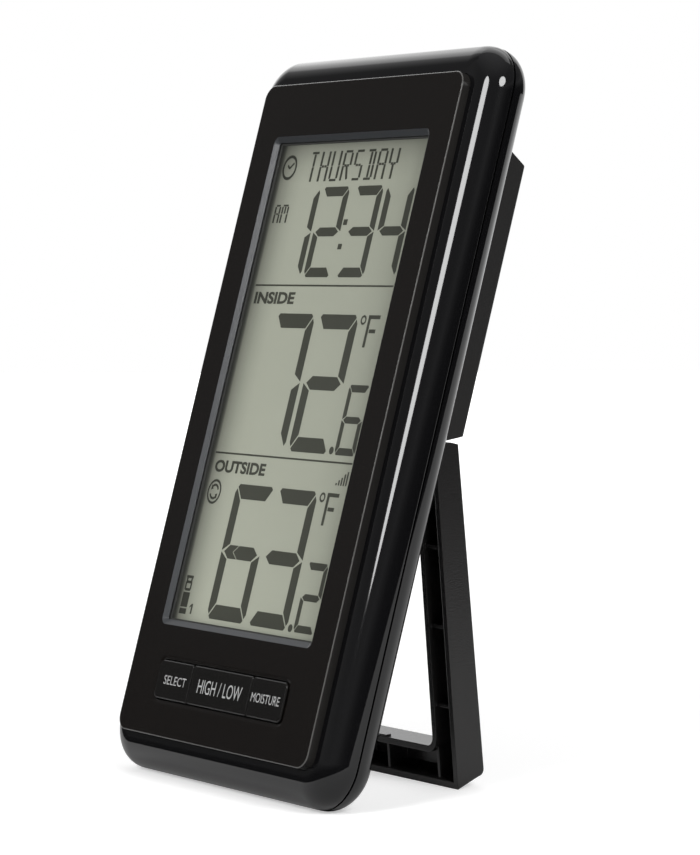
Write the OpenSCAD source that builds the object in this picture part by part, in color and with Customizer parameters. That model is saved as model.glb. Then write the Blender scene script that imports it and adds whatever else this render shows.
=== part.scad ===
// Desk thermometer station with a fold-out rear leg.
// Pieces are drawn face-on: x to the right, y up the face from the panel's bottom edge, z out of the
// panel. Depths count back from the panel's face. leaning() then stands the whole thing on the floor.

/* [Case] */
// Width of the raised front panel
panel_w = 78; // [76:0.1:80]
// Height of the raised front panel
panel_h = 150; // [148:0.5:154]
// Corner radius of the raised front panel
panel_r = 3.3; // [2.5:0.1:4]
// How far the panel stands out of the rim
panel_step = 2; // [1.6:0.1:2.2]
// Width of the rounded rim round the panel
rim = 6.75; // [6.6:0.05:7.6]
// How much wider the rim is at the top and bottom
end_rim = 0.75; // [0.5:0.05:0.9]
// How far the panel sits above the middle of the case
panel_shift = -0.1; // [-0.2:0.05:0.3]
// Depth of the seam between bezel and back shell
seam_depth = 8.5; // [8.3:0.1:8.8]
// Width of the seam
seam_gap = 0.3; // [0.2:0.05:0.4]
// Depth of the flat back
back_depth = 15.5; // [15.2:0.1:16]
// Wall thickness of the mouldings
wall = 1.8; // [1.6:0.1:2]

/* [Stance] */
// Angle that the case leans back from upright
lean = 17.4; // [14:0.1:19]
// Angle that the leg swings out from the folded place
leg_open = 21.2; // [18:0.1:23]

/* [Display] */
// Width of the window at the panel's face
window_w = 61.5; // [58:0.1:62]
// Height of the window at the panel's face
window_h = 112.9; // [108:0.1:113.4]
// How far the window sits to the right
window_x = 0.3; // [-0.3:0.1:0.4]
// Height of the window's middle above the panel's bottom edge
window_y = 81.15; // [81:0.05:81.6]
// Width of the bevel round the window
bevel_w = 1.3; // [0.8:0.05:1.6]
// Depth of the bevel round the window
bevel_depth = 0.8; // [0.4:0.05:0.85]
// Depth of the front of the display glass
lcd_depth = 1.55; // [1.5:0.05:1.7]

/* [Buttons] */
// Width of the bar of three buttons
bar_w = 52.2; // [50:0.1:53]
// Height of the bar
bar_h = 8.6; // [8:0.1:9]
// Height of the bar's middle above the panel's bottom edge
bar_y = 12.6; // [12.2:0.1:13]
// Width of the middle button
middle_w = 24.2; // [22:0.1:26]
// How far the middle button sits to the right
middle_shift = 0.3; // [-1:0.1:1]
// Play round and between the buttons
button_gap = 0.3; // [0.25:0.05:0.4]
// How far the buttons stand out of the panel
button_proud = 0.3; // [0:0.1:0.4]
// How far a button travels
button_travel = 0.5; // [0.3:0.1:0.6]

/* [Battery box] */
// Width of the box on the back, and of the leg
hump_w = 66; // [65:0.5:68]
// Depth of the box's rear face
hump_depth = 24.8; // [24.6:0.1:25.2]
// Height of the lower end of the box's rear face
hump_low = 76.6; // [76:0.1:77]
// Height of the upper end of the box's rear face
hump_top = 136.9; // [136.5:0.1:138]
// Diameter of a battery cell
cell_d = 14.2; // [14:0.1:14.3]
// Length of a battery cell with its nub
cell_l = 50.5; // [50:0.1:50.5]
// Radius of the round part of the hanging keyhole
keyhole_r = 4.2; // [4:0.1:4.3]

/* [Leg] */
// Width of the leg's rails
rail_w = 8.4; // [8:0.1:8.6]
// Thickness of the leg at the hinge
leg_top_t = 5.94; // [5.8:0.02:6.1]
// Thickness of the leg at the foot
leg_foot_t = 7.1; // [6.8:0.1:7.2]
// Wall thickness of the leg's channel
leg_wall = 1.4; // [1.2:0.1:1.6]
// Distance between the ribs in the rails
rib_pitch = 17.2; // [16:0.1:17.4]
// Radius of the hinge pins
pin_r = 1.5; // [1.4:0.05:1.5]

/* [Hidden] */
$fn = 64;

gloss = "#111112";
satin = "#1b1918";
matte = "#2e2c2c";
steel = "#b9bcc0";

// Case outline
case_w = panel_w + 2 * rim;
case_h = panel_h + 2 * rim + 2 * end_rim;
case_r = panel_r + rim;
case_y = panel_h / 2 - panel_shift;
seam_front = seam_depth - seam_gap / 2;
seam_rear = seam_depth + seam_gap / 2;

// Rim: a narrow ledge beside the panel, a quarter ellipse, then a short straight side
ledge = 0.5;
rim_end = 7.6;
bezel_edge = concat([[panel_r, panel_step]],
    quarter(panel_r + ledge, rim_end, rim - ledge, panel_step - rim_end, 90, 0),
    [[case_r, seam_front]]);
// Back: a short straight side, then a wide quarter ellipse to the flat back
crown = 0.5;
back_edge = quarter(crown, seam_rear, case_r - crown, back_depth - seam_rear, 0, 90);

// Front panel: a tray with a flange that hooks behind the rim
panel_chamfer = 0.2;
lip_depth = 3.6;
flange = 1.6;
flange_t = 1.25;
tray_depth = lip_depth + 0.05 + flange_t;
skirt = 1.5;
window_r = 1.7;

// Display stack
lens_front = 0.95;
lens_back = 1.35;
lens_w = window_w + 2;
lens_h = window_h + 2;
glass_w = 65;
glass_h = 117;
glass_t = 0.8;
rear_glass_h = 110.6;
zebra_w = 2.2;
zebra_y = (glass_h + rear_glass_h) / 4;
pcb_depth = 5.6;
pcb_t = 1;
pcb_back = pcb_depth + pcb_t;
pcb_w = 75;
pcb_low = 21;
pcb_top = 139;
view_w = window_w - 3.4;
view_h = window_h - 3.4;
reflector_t = 0.25;

// Fasteners
screw_xy = [for (x = [-37, 37], y = [5, 145]) [x, y]];
post_xy = [for (x = [-36, 36], y = [45, 118]) [x, y]];
boss_end = 10.9;
screw_seat = 12.2;
screw_r = 1.15;
small_screw_r = 0.75;
screw_play = 0.05;

// Buttons, from left to right: middle of each and its width
side_w = (bar_w - middle_w) / 2 - button_gap;
button_w = [side_w + middle_shift, middle_w, side_w - middle_shift];
button_x = [(button_w[0] - bar_w) / 2, middle_shift, (bar_w - button_w[2]) / 2];
bar_r = 1.3;
bar_edge_w = 0.7;
bar_edge_depth = 0.2;
cap_back = 1.95;
cap_flange_t = 0.75;
cap_flange_h = 2.2;
stem_front = 3.2;
stem_r = 1.7;
switch_front = 3.7;
switch_w = 6;

// Battery box: heights of the ends of its foot, and the cells' places
hump_low_slope = 0.47;
hump_top_slope = 0.42;
hump_rise = hump_depth - back_depth;
hump_skin = 2;
hump_in = hump_depth - hump_skin;
hump_low_base = hump_low - hump_low_slope * hump_rise;
hump_top_base = hump_top + hump_top_slope * hump_rise;
hump_round = 1.2;
cell_r = cell_d / 2;
cell_depth = 15.6;
cell_y = [92, 107.5];
pocket_w = 55;
pocket_low = 84.2;
pocket_top = 115.3;
pocket_floor = 8.2;
tray_wall = 1.2;
keyhole_y = 127;
keyhole_run = 5;
keyhole_slot_r = 2;

// Battery cover
cover_w = 57;
cover_low = 81.3;
cover_top = 118;
cover_t = 1.8;
cover_play = 0.3;
cover_seat = hump_depth - cover_t - 0.05;
hook_x = 15;
hook_w = 5;
latch_w = 10;

// Contacts
plate_t = 0.4;
dimple = 0.5;
spring_wire = 0.35;
spring_turns = 2;
spring_r = [4.4, 2.6];
spring_rings = 24;
spring_sides = 6;

// Leg and hinge
hinge_y = 70.65;
hinge_depth = 20;
hinge_play = 0.05;
knuckle_r = 2.9;
lug_in = 20.4;
lug_out = 24.1;
pin_in = lug_in - 0.5;
pin_out = hump_w / 2 - rail_w + 4;
leg_rear = hump_depth - hinge_depth;
leg_front = leg_top_t - leg_rear;
foot_front = leg_foot_t - leg_rear;
bar_top = 6;
bar_low = 13;
window_round = 2.2;
foot_slope = 0.268;
foot_round = 1.5;
tab_w = 13;
tab_h = 0.45;
tab_d = 1.3;
rib_t = 0.8;
rib_set = 0.7;

// Standing on the floor: lowest point of the leaning case, and the leg length that reaches the same floor
case_low = case_y - case_h / 2 + case_r;
floor_z = min([for (p = back_edge) (case_low - p[0]) * cos(lean) - p[1] * sin(lean)]);
hinge_z = hinge_y * cos(lean) - hinge_depth * sin(lean);
leg_tilt = leg_open - lean;
leg_len = ((hinge_z - floor_z) - foot_front * sin(leg_tilt)) / cos(leg_tilt);
front_y = panel_chamfer * sin(lean);
rear_y = max([for (p = hump_round_points()) p[0] * sin(lean) - p[1] * cos(lean)]);
mid_y = (front_y + rear_y) / 2;

// To a thousandth, so that straight sides and turned corners meet on the same points
function thousandth(x) = round(x * 1000) / 1000;

// Points of a quarter ellipse about (cx, cy), as [offset, depth]
function quarter(cx, cy, rx, ry, from, to, steps = 14) =
    [for (i = [0:steps]) let (a = from + (to - from) * i / steps)
        [thousandth(cx + rx * cos(a)), thousandth(cy + ry * sin(a))]];

// Rounded rear corner at the box's upper end, in [height, -depth]
function hump_round_points() =
    [for (a = [0:15:75])
        [hump_top - hump_round * (1 - sin(a)) - 0.2, -hump_depth + hump_round * (1 - cos(a))]];

// Stands the face-on pieces on the floor, with the origin below the middle of the whole
module leaning() {
    translate([0, -mid_y, -floor_z])
        rotate([90 - lean, 0, 0])
            children();
}

// A flat outline between two depths
module between(front, back) {
    translate([0, 0, -back])
        linear_extrude(back - front)
            children();
}

// A [height, -depth] outline as wide as the given width, about x = 0
module along_x(width) {
    rotate([90, 0, 90])
        linear_extrude(width, center = true)
            children();
}

module rounded_rect(w, h, r) {
    square([w - 2 * r, h], center = true);
    square([w, h - 2 * r], center = true);
    for (x = [-1, 1], y = [-1, 1])
        translate([x * (w / 2 - r), y * (h / 2 - r)])
            circle(r);
}

// A slot with round ends
module stadium(w, h) {
    square([w, h - w], center = true);
    for (y = [-1, 1])
        translate([0, y * (h - w) / 2])
            circle(w / 2);
}

// Section across a slab: the edge on the right, and its mirror on the left
function section(half, edge) = concat(
    [for (p = edge) [half + p[0], -p[1]]],
    [for (i = [len(edge) - 1:-1:0]) [-half - edge[i][0], -edge[i][1]]]);

// A rounded rectangle whose edge follows an [offset, depth] profile all round, listed front to back
module swept_slab(w, h, r, edge) {
    half_w = w / 2 - r;
    half_h = h / 2 - r;
    first = edge[0];
    last = edge[len(edge) - 1];
    corner = concat([[0, -first[1]]], [for (p = edge) [p[0], -p[1]]], [[0, -last[1]]]);
    for (c = [[1, 1, 0], [-1, 1, 90], [-1, -1, 180], [1, -1, 270]])
        translate([c[0] * half_w, c[1] * half_h, 0])
            rotate([0, 0, c[2]])
                rotate_extrude(angle = 90)
                    polygon(corner);
    rotate([90, 0, 0])
        linear_extrude(2 * half_h, center = true)
            polygon(section(half_w, edge));
    along_x(2 * half_w)
        polygon(section(half_h, edge));
}

// A round post or bore along the depth, at a place on the face
module bar_at(xy, r, front, back) {
    translate([xy[0], xy[1], -back])
        cylinder(r = r, h = back - front);
}

// A screw seen from behind: pan head with a cross recess, and its shank
module screw(xy, head_r, head_t, shank_r, seat, tip) {
    slot = head_r * 0.3;
    difference() {
        union() {
            bar_at(xy, head_r, seat, seat + head_t);
            bar_at(xy, shank_r, tip, seat);
        }
        for (turn = [0, 90])
            translate([xy[0], xy[1], -seat - head_t])
                rotate([0, 0, turn])
                    cube([head_r * 1.3, slot, head_t], center = true);
    }
}

module front_bezel() {
    hollow = case_r - wall;
    color(gloss)
        leaning()
            difference() {
                translate([0, case_y, 0])
                    swept_slab(case_w, case_h, case_r, bezel_edge);
                translate([0, case_y, 0])
                    swept_slab(case_w - 2 * wall, case_h - 2 * wall, hollow,
                        [[hollow - 3, lip_depth], [hollow, lip_depth + 2.6], [hollow, seam_depth + 1]]);
                translate([0, panel_h / 2, 0])
                    between(0, lip_depth + 1)
                        rounded_rect(panel_w + 0.2, panel_h + 0.2, panel_r + 0.1);
            }
}

module face_panel() {
    inner = window_r - bevel_w;
    overrun = 0.5;
    window_edge = [[thousandth(window_r + overrun * bevel_w / bevel_depth), -overrun], [inner, bevel_depth],
        [inner, wall + 1]];
    hole_r = bar_r + button_gap;
    hole_edge = [[thousandth(hole_r + bar_edge_w + overrun * bar_edge_w / bar_edge_depth), -overrun],
        [hole_r, bar_edge_depth], [hole_r, wall + 1]];
    color(satin)
        leaning()
            difference() {
                union() {
                    difference() {
                        translate([0, panel_h / 2, 0]) {
                            swept_slab(panel_w, panel_h, panel_r,
                                [[panel_r - panel_chamfer, 0], [panel_r, panel_chamfer],
                                    [panel_r, tray_depth]]);
                            between(tray_depth - flange_t, tray_depth)
                                rounded_rect(panel_w + 2 * flange, panel_h + 2 * flange, panel_r + flange);
                        }
                        translate([0, panel_h / 2, 0])
                            between(wall, tray_depth + 1)
                                rounded_rect(panel_w - 2 * skirt, panel_h - 2 * skirt, panel_r - skirt);
                    }
                    for (xy = post_xy)
                        bar_at(xy, 1.7, wall - 0.2, pcb_depth);
                    for (xy = screw_xy)
                        bar_at(xy, 3.2, tray_depth - flange_t, boss_end);
                }
                translate([window_x, window_y, 0]) {
                    swept_slab(window_w, window_h, window_r, window_edge);
                    // seats of the lens and of the display glass
                    between(lens_front, wall + 1)
                        rounded_rect(lens_w + 0.2, lens_h + 0.2, 1.5);
                    between(lcd_depth - 0.05, wall + 1)
                        square([glass_w + 0.4, glass_h + 0.4], center = true);
                }
                translate([0, bar_y, 0])
                    swept_slab(bar_w + 2 * button_gap, bar_h + 2 * button_gap, hole_r, hole_edge);
                for (xy = post_xy)
                    bar_at(xy, small_screw_r + screw_play, 3, pcb_depth + 1);
                for (xy = screw_xy)
                    bar_at(xy, screw_r + screw_play, 5, boss_end + 1);
            }
}

module lens() {
    color("#dfe8ea", 0.3)
        leaning()
            translate([window_x, window_y, 0])
                between(lens_front, lens_back)
                    rounded_rect(lens_w, lens_h, 1.4);
}

module display_gasket() {
    color("#0c0c0c")
        leaning()
            translate([window_x, window_y, 0])
                between(lens_back, lcd_depth)
                    difference() {
                        rounded_rect(lens_w, lens_h, 1.4);
                        square([view_w, view_h], center = true);
                    }
}

module lcd_glass() {
    color("#a9ab9a")
        leaning()
            translate([window_x, window_y, 0]) {
                between(lcd_depth, lcd_depth + glass_t)
                    square([glass_w, glass_h], center = true);
                between(lcd_depth + glass_t, lcd_depth + 2 * glass_t)
                    square([glass_w, rear_glass_h], center = true);
            }
}

module lcd_reflector() {
    front = lcd_depth + 2 * glass_t;
    color("#b6b8aa")
        leaning()
            translate([window_x, window_y, 0])
                between(front, front + reflector_t)
                    square([61, 108], center = true);
}

module lcd_frame() {
    front = lcd_depth + glass_t + 0.05;
    pocket_back = lcd_depth + 2 * glass_t + reflector_t + 0.05;
    color("#e6e4de")
        leaning()
            translate([window_x, window_y, 0])
                difference() {
                    between(front, pcb_depth)
                        rounded_rect(67.6, 121, 1);
                    between(front - 1, pocket_back)
                        square([glass_w + 0.4, rear_glass_h + 0.4], center = true);
                    between(front - 1, pcb_depth + 1)
                        square([58, 100], center = true);
                    for (side = [-1, 1])
                        translate([0, side * zebra_y, 0])
                            between(front - 1, pcb_depth + 1)
                                square([62.4, zebra_w + 0.4], center = true);
                }
}

module zebra_strips() {
    color("#3a3a3a")
        leaning()
            for (side = [-1, 1])
                translate([window_x, window_y + side * zebra_y, 0])
                    between(lcd_depth + glass_t, pcb_depth)
                        square([62, zebra_w], center = true);
}

module main_pcb() {
    neck_w = 51;
    color("#1f5a35")
        leaning()
            difference() {
                union() {
                    translate([0, (pcb_low + pcb_top) / 2, 0])
                        between(pcb_depth, pcb_back)
                            rounded_rect(pcb_w, pcb_top - pcb_low, 1.5);
                    translate([0, pcb_low / 2 + 3, 0])
                        between(pcb_depth, pcb_back)
                            rounded_rect(neck_w, pcb_low + 2, 1.5);
                }
                for (xy = post_xy)
                    bar_at(xy, small_screw_r + 0.3, pcb_depth - 1, pcb_back + 1);
            }
}

module controller_blob() {
    blob_r = 6;
    blob_t = 1.8;
    ball_r = (blob_r * blob_r + blob_t * blob_t) / (2 * blob_t);
    color("#141414")
        leaning()
            translate([4, 52, -pcb_back])
                intersection() {
                    translate([0, 0, ball_r - blob_t])
                        sphere(r = ball_r);
                    translate([0, 0, -blob_t])
                        cylinder(r = blob_r + 1, h = blob_t);
                }
}

module clock_crystal() {
    color(steel)
        leaning()
            translate([18, 46, -pcb_back - 1])
                rotate([0, 90, 0])
                    cylinder(r = 1, h = 6);
}

module receiver_module() {
    board_t = 0.8;
    color("#27496b")
        leaning()
            translate([-18, 131, 0]) {
                between(pcb_back, pcb_back + board_t)
                    rounded_rect(26, 11, 0.8);
                translate([3, 0, 0])
                    between(pcb_back + board_t, pcb_back + board_t + 2)
                        square([10, 8], center = true);
                bar_at([-7, 1], 2, pcb_back + board_t, pcb_back + board_t + 2.4);
            }
}

module antenna() {
    wire_r = 0.4;
    wire_depth = pcb_back + 0.8 + wire_r;
    color("#a5623a")
        leaning()
            translate([0, 0, -wire_depth]) {
                translate([-33.5, 131, 0])
                    rotate([0, 90, 0])
                        cylinder(r = wire_r, h = 4.5);
                translate([-33.5, 131, 0])
                    sphere(r = wire_r);
                translate([-33.5, 131, 0])
                    rotate([90, 0, 0])
                        cylinder(r = wire_r, h = 69);
            }
}

module temperature_sensor() {
    bead = [-8, 33];
    color("#262626")
        leaning() {
            for (side = [-1, 1])
                bar_at([bead[0] + side * 0.6, bead[1]], 0.25, pcb_back, pcb_back + 3.4);
            translate([bead[0], bead[1], -pcb_back - 3.6])
                sphere(r = 1.3);
        }
}

module humidity_sensor() {
    color("#e9e7df")
        leaning()
            translate([8, 33, 0])
                difference() {
                    between(pcb_back, pcb_back + 2)
                        rounded_rect(7, 6, 0.6);
                    for (x = [-2, 0, 2])
                        translate([x, 0, 0])
                            between(pcb_back + 1, pcb_back + 3)
                                square([0.8, 4], center = true);
                }
}

module tact_switches() {
    color("#202020")
        leaning()
            for (x = button_x)
                difference() {
                    translate([x, bar_y, 0])
                        between(switch_front, pcb_depth)
                            rounded_rect(switch_w, switch_w, 0.6);
                    bar_at([x, bar_y], stem_r + 0.05, switch_front - 1, pcb_depth - 0.15);
                }
}

// Moving stem of a switch
module stem(i) {
    color("#c7b489")
        leaning()
            bar_at([button_x[i], bar_y], stem_r, stem_front, switch_front + 1.2);
}

module stem_left() { stem(0); }

module stem_middle() { stem(1); }

module stem_right() { stem(2); }

// Cap of a button, with the flange that stops it behind the panel and the post that presses the stem
// One button: two halves in one, as the corners at the ends of the bar are rounder
module button(i) {
    soft = 0.25;
    lap = 2;
    color(satin)
        leaning()
            translate([button_x[i], bar_y, 0]) {
                for (side = [-1, 1]) {
                    corner = side == i - 1 ? bar_r : 0.6;
                    translate([side * (button_w[i] / 4 - lap / 2), 0, 0])
                        swept_slab(button_w[i] / 2 + lap, bar_h, corner, [[corner - soft, -button_proud],
                            [corner, soft - button_proud], [corner, cap_back + cap_flange_t]]);
                }
                between(cap_back, cap_back + cap_flange_t)
                    square([button_w[i], bar_h + cap_flange_h], center = true);
                bar_at([0, 0], 1.2, cap_back + cap_flange_t - 0.1, stem_front);
            }
}

module button_left() { button(0); }

module button_middle() { button(1); }

module button_right() { button(2); }

// Ear on the back that holds one hinge pin
module hinge_lug(side) {
    foot = -back_depth + 0.3;
    translate([side * (lug_in + lug_out) / 2, 0, 0])
        difference() {
            along_x(lug_out - lug_in) {
                translate([hinge_y, -hinge_depth])
                    circle(knuckle_r - 0.1);
                polygon([[hinge_y - 5, foot], [hinge_y - knuckle_r + 0.1, -hinge_depth],
                    [hinge_y + knuckle_r - 0.1, -hinge_depth], [hinge_y + 1.4, foot]]);
            }
            translate([0, hinge_y, -hinge_depth])
                rotate([0, 90, 0])
                    cylinder(r = pin_r + hinge_play, h = 20, center = true);
        }
}

module back_shell() {
    hollow = case_r - wall - 1;
    tongue = case_r - wall - 0.1;
    shell_edge = concat([[tongue, seam_front - 1.2], [tongue, seam_rear]], back_edge);
    color(gloss)
        leaning()
            difference() {
                union() {
                    // outer form, with the tongue that registers inside the bezel
                    translate([0, case_y, 0])
                        difference() {
                            swept_slab(case_w, case_h, case_r, shell_edge);
                            swept_slab(case_w, case_h, case_r, [[hollow, seam_front - 2], [hollow, 10.5],
                                [hollow - 0.8, 12.4], [hollow - 3.2, back_depth - wall]]);
                        }
                    for (xy = screw_xy)
                        bar_at(xy, 4.3, boss_end + 0.05, back_depth - wall + 0.2);
                    for (side = [-1, 1])
                        hinge_lug(side);
                }
                for (xy = screw_xy) {
                    bar_at(xy, 3.1, screw_seat, back_depth + 1);
                    bar_at(xy, screw_r + 0.45, boss_end - 1, screw_seat + 1);
                }
                // way through for the battery tray
                translate([0, (pocket_low - tray_wall + hump_top) / 2 - 1, 0])
                    between(back_depth - wall - 1, back_depth + 1)
                        square([pocket_w + 2 * tray_wall + 0.4, hump_top - pocket_low + tray_wall],
                            center = true);
                // air slots for the sensors
                for (x = [-16:8:16])
                    translate([x, 36, 0])
                        between(back_depth - wall - 1, back_depth + 1)
                            stadium(1.6, 16);
            }
}

// Outer form of the box: its side outline, with the long rear edges rounded
module hump_solid() {
    edge_r = 0.8;
    intersection() {
        along_x(hump_w)
            polygon(concat([[hump_low_base, -back_depth], [hump_low, -hump_depth]],
                hump_round_points(), [[hump_top_base, -back_depth]]));
        translate([0, hump_top_base + 1, 0])
            rotate([90, 0, 0])
                linear_extrude(hump_top_base - hump_low_base + 4) {
                    translate([0, -(back_depth + hump_depth - edge_r) / 2])
                        square([hump_w, hump_depth - edge_r - back_depth], center = true);
                    translate([0, -hump_depth + edge_r])
                        square([hump_w - 2 * edge_r, 2 * edge_r], center = true);
                    for (side = [-1, 1])
                        translate([side * (hump_w / 2 - edge_r), -hump_depth + edge_r])
                            circle(edge_r);
                }
    }
}

// A block given by its corners on the face and its two depths
module block(x, y, w, h, front, back) {
    translate([x, y, 0])
        between(front, back)
            square([w, h], center = true);
}

module battery_box() {
    pocket_mid = (pocket_low + pocket_top) / 2;
    pocket_h = pocket_top - pocket_low;
    cover_mid = (cover_low + cover_top) / 2;
    tray_front = pocket_floor - tray_wall;
    color(matte)
        leaning()
            difference() {
                union() {
                    hump_solid();
                    block(0, pocket_mid, pocket_w + 2 * tray_wall, pocket_h + 2 * tray_wall,
                        tray_front, back_depth + 1);
                    // snaps that hold the tray behind the shell's wall
                    for (x = [-1, 1], y = [-8, 8])
                        block(x * (pocket_w / 2 + tray_wall + 0.5), pocket_mid + y, 1.4, 5,
                            back_depth - wall - 1.3, back_depth - wall - 0.1);
                }
                block(0, pocket_mid, pocket_w, pocket_h, pocket_floor, hump_depth + 1);
                block(0, cover_mid, cover_w + 2 * cover_play, cover_top - cover_low + 2 * cover_play,
                    cover_seat, hump_depth + 1);
                // hollow above the cells, behind the keyhole
                block(0, (120 + hump_top - 1.4) / 2, hump_w - 2 * hump_skin - 2, hump_top - 1.4 - 120,
                    back_depth - 1, hump_in);
                // hollow below the cells
                block(0, 79, hump_w - 2 * hump_skin - 2, 3.4, back_depth - 1, 20.2);
                // room for the cover's hooks and latch
                for (x = [-hook_x, hook_x]) {
                    block(x, 82.1, hook_w + 0.8, 5.8, 20.4, 22.6);
                    block(x, 83, hook_w + 0.8, 4, 20.4, cover_seat + 0.2);
                }
                block(0, 116.8, latch_w + 0.8, 3, 20.4, cover_seat + 0.2);
                // thumb notch at the cover's upper edge
                bar_at([0, cover_top + cover_play], 4, hump_depth - 1.1, hump_depth + 1);
                // slots for the contacts' tails
                for (y = cell_y)
                    block(pocket_w / 2 - plate_t / 2, y, plate_t + 0.2, 3.4,
                        tray_front - 1, pocket_floor + 1);
                // hanging keyhole
                bar_at([0, keyhole_y], keyhole_r, hump_in - 1, hump_depth + 1);
                bar_at([0, keyhole_y + keyhole_run], keyhole_slot_r, hump_in - 1, hump_depth + 1);
                block(0, keyhole_y + keyhole_run / 2, 2 * keyhole_slot_r, keyhole_run,
                    hump_in - 1, hump_depth + 1);
            }
}

module battery_cover() {
    inner = hump_depth - cover_t;
    thumb_y = cover_top - 9;
    color(matte)
        leaning() {
            difference() {
                block(0, (cover_low + cover_top) / 2, cover_w, cover_top - cover_low, inner, hump_depth);
                // thumb rest, with ridges left standing in it
                translate([0, thumb_y, 0])
                    between(hump_depth - 0.7, hump_depth + 1)
                        difference() {
                            rounded_rect(18, 10, 3);
                            for (y = [-3, 0, 3])
                                translate([0, y])
                                    square([13, 1], center = true);
                        }
            }
            for (x = [-hook_x, hook_x]) {
                block(x, 82.35, hook_w, 1.5, 21, inner);
                block(x, 80.8, hook_w, 2.2, 21, 22.2);
            }
            block(0, 117, latch_w, 1.5, 20.8, inner);
        }
}

// A cell lying across the case; facing is the side its nub points to
module cell(y, facing) {
    nub_l = 1;
    body_l = cell_l - nub_l;
    nub_tip = pocket_w / 2 - plate_t - dimple;
    soft = 0.5;
    rim_r = 4.8;
    color("#3d4248")
        leaning()
            translate([facing * nub_tip, y, -cell_depth])
                rotate([0, -90 * facing, 0])
                    rotate_extrude()
                        polygon([[0, 0], [2.3, 0], [2.7, 0.3], [2.7, nub_l], [rim_r, nub_l],
                            [cell_r - soft, nub_l], [cell_r, nub_l + soft], [cell_r, nub_l + body_l - soft],
                            [cell_r - soft, nub_l + body_l], [rim_r, nub_l + body_l],
                            [rim_r - soft, nub_l + body_l - 0.3], [0, nub_l + body_l - 0.3]]);
}

module battery_upper() { cell(cell_y[1], 1); }

module battery_lower() { cell(cell_y[0], -1); }

module contact_plates() {
    x_in = pocket_w / 2 - plate_t / 2;
    plate_w = 11;
    color(steel)
        leaning() {
            // one strip joins the cells on the left
            block(-x_in, (cell_y[0] + cell_y[1]) / 2, plate_t, cell_y[1] - cell_y[0] + plate_w, 10, 21);
            for (y = cell_y) {
                block(x_in, y, plate_t, plate_w, 10, 21);
                block(x_in, y, plate_t, 3, pcb_back, 10);
            }
            for (c = [[1, cell_y[1]], [-1, cell_y[0]]])
                translate([c[0] * (pocket_w / 2 - plate_t - dimple / 2), c[1], -cell_depth])
                    rotate([0, 90, 0])
                        cylinder(r = 2, h = dimple, center = true);
        }
}

// Middle line of a contact spring, from the plate to the cell: the first and last quarter turns lie flat
spring_l = pocket_w - 2 * plate_t - dimple - cell_l - 2 * spring_wire + 0.3;
function spring_rise(t) = spring_l * min(1, max(0, (t - 0.12) / 0.76));
function spring_point(t) =
    let (r = spring_r[0] + (spring_r[1] - spring_r[0]) * t, a = 360 * spring_turns * t)
    [r * cos(a), r * sin(a), spring_wire + spring_rise(t)];
spring_line = [for (i = [0:spring_rings]) spring_point(i / spring_rings)];
spring_gap = min([for (i = [0:spring_rings], j = [0:spring_rings])
    if (j - i > spring_rings / (2 * spring_turns)) norm(spring_line[j] - spring_line[i]) - 2 * spring_wire]);
echo(spring_gap = spring_gap);

// A ring of points square to the middle line at one place
function spring_ring(i) =
    let (t = i / spring_rings, a = 360 * spring_turns * t, p = spring_line[i])
    [for (k = [0:spring_sides - 1]) let (b = 360 * k / spring_sides)
        p + spring_wire * [cos(a) * cos(b), sin(a) * cos(b), sin(b)]];

module coil() {
    points = [for (i = [0:spring_rings]) each spring_ring(i)];
    n = spring_sides;
    last = spring_rings * n;
    sides = [for (i = [0:spring_rings - 1], k = [0:n - 1])
        let (a = i * n + k, b = i * n + (k + 1) % n)
        each [[a, b, b + n], [a, b + n, a + n]]];
    caps = [for (k = [1:n - 2]) each [[0, k + 1, k], [last, last + k, last + k + 1]]];
    polyhedron(points, concat(sides, caps));
}

module contact_springs() {
    color(steel)
        leaning()
            for (c = [[-1, cell_y[1]], [1, cell_y[0]]])
                translate([c[0] * (pocket_w / 2 - plate_t), c[1], -cell_depth])
                    rotate([0, -90 * c[0], 0])
                        coil();
}

// Outline of the leg seen square on, y down from the hinge as negative
module leg_outline(grow = 0) {
    difference() {
        translate([0, -leg_len / 2 + 5])
            square([hump_w, leg_len + 20], center = true);
        // between the ears, above the cross bar
        translate([0, 10 - bar_top + grow])
            square([hump_w - 2 * rail_w - 2 * grow, 20], center = true);
        translate([0, -(bar_low + leg_len - rail_w) / 2])
            rounded_rect(hump_w - 2 * rail_w + 2 * grow, leg_len - rail_w - bar_low + 2 * grow,
                window_round + grow);
    }
}

// Side outline of the leg, in [height, -depth] from the hinge
function leg_side() =
    let (foot_rear = -leg_len + foot_slope * leg_foot_t)
    concat([[2.34, -leg_rear], [2.95, 1.8 - leg_rear], [2.2, leg_front], [-leg_len, foot_front]],
        [for (a = [90:-15:0])
            [foot_rear + foot_round * (1 - sin(a)), -leg_rear + foot_round * (1 - cos(a))]]);

// Inside of the leg's channel, seen square on
module leg_channel() {
    intersection() {
        translate([0, -4.5 - leg_len / 2])
            square([hump_w - 2 * leg_wall, leg_len], center = true);
        leg_outline(leg_wall);
    }
}

// Height of the inner side of the sole at a place in front of the hinge
function sole(z) = leg_wall - leg_len + foot_slope * (foot_front - z);

// Space in front of a line through the leg and above its sole
module in_front(top_z, foot_z) {
    reach = 20;
    along_x(hump_w)
        polygon([[0, top_z], [sole(foot_z), foot_z], [sole(reach), reach], [0, reach]]);
}

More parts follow.
